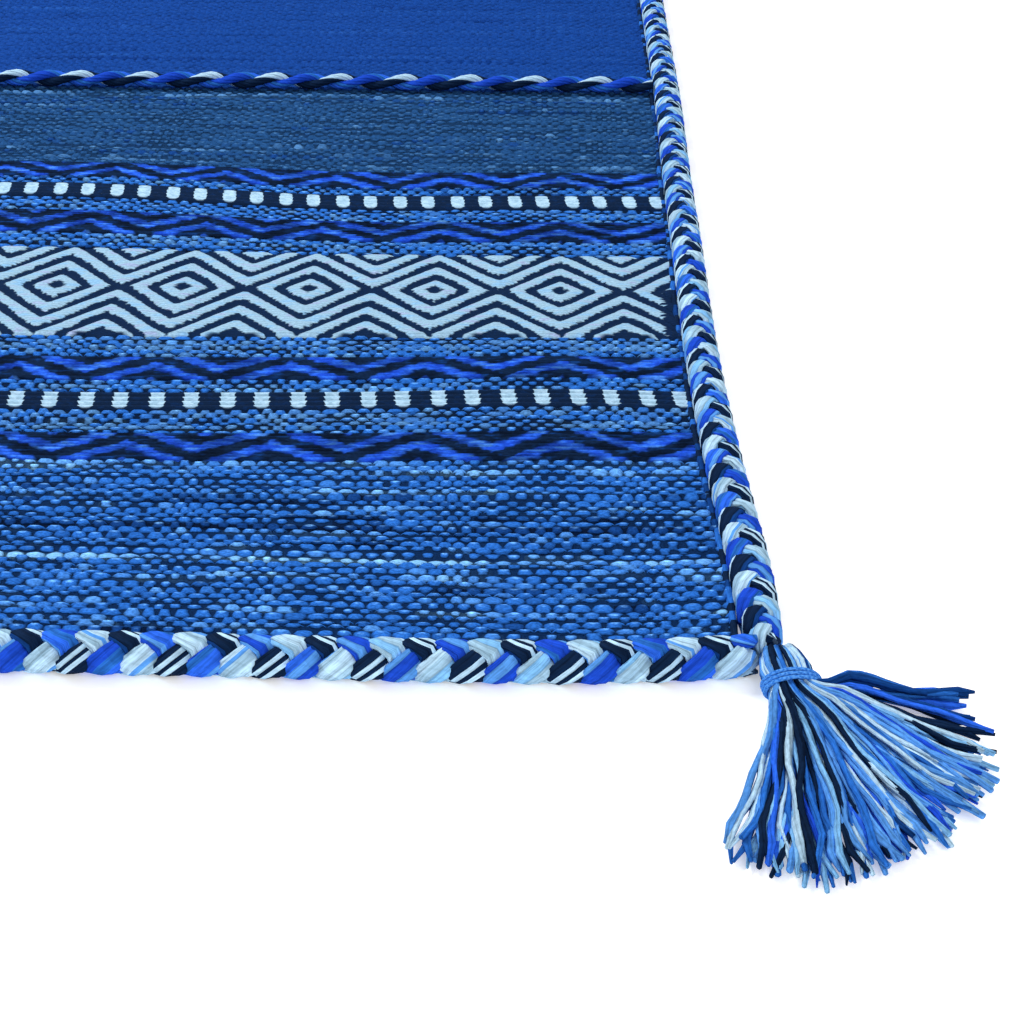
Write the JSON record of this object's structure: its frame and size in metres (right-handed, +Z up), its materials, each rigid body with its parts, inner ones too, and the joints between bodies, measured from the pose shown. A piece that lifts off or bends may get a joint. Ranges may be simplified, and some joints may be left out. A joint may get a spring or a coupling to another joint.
{
  "type": "kilim",
  "caption": "Flat-woven cotton kilim rug with patterned cross bands, a plaited edging, twisted cords across it and tied corner tassels, lying flat on the floor.",
  "frame": {"origin": "on the floor, under the middle of the whole rug with its tassels", "axes": "+X across the rug, to the right as seen from its near end; +Y along its length, away from the near end; +Z up from the floor"},
  "size_m": [0.8162, 1.5544, 0.0117],
  "materials": {
    "cloth": "matt woven cotton, marled blues with dark gaps between the picks",
    "braid": "matt cotton plait in ice blue, near black and two blues",
    "cord": "matt two-ply cotton cord in ice white, near black and blues",
    "tassel": "loose soft cotton yarns in mixed blues",
    "tie": "sky blue cotton yarn wound round the neck"
  },
  "bodies": {
    "root": {"kilim_cloth": "cloth", "braid_front": "braid", "braid_right": "braid", "braid_back": "braid", "braid_left": "braid", "cord_front": "cord", "cord_back": "cord", "tassel_front_right": "tassel", "tassel_front_left": "tassel", "tassel_back_right": "tassel", "tassel_back_left": "tassel", "tassel_tie_front_right": "tie", "tassel_tie_front_left": "tie", "tassel_tie_back_right": "tie", "tassel_tie_back_left": "tie"}
  },
  "joints": []
}
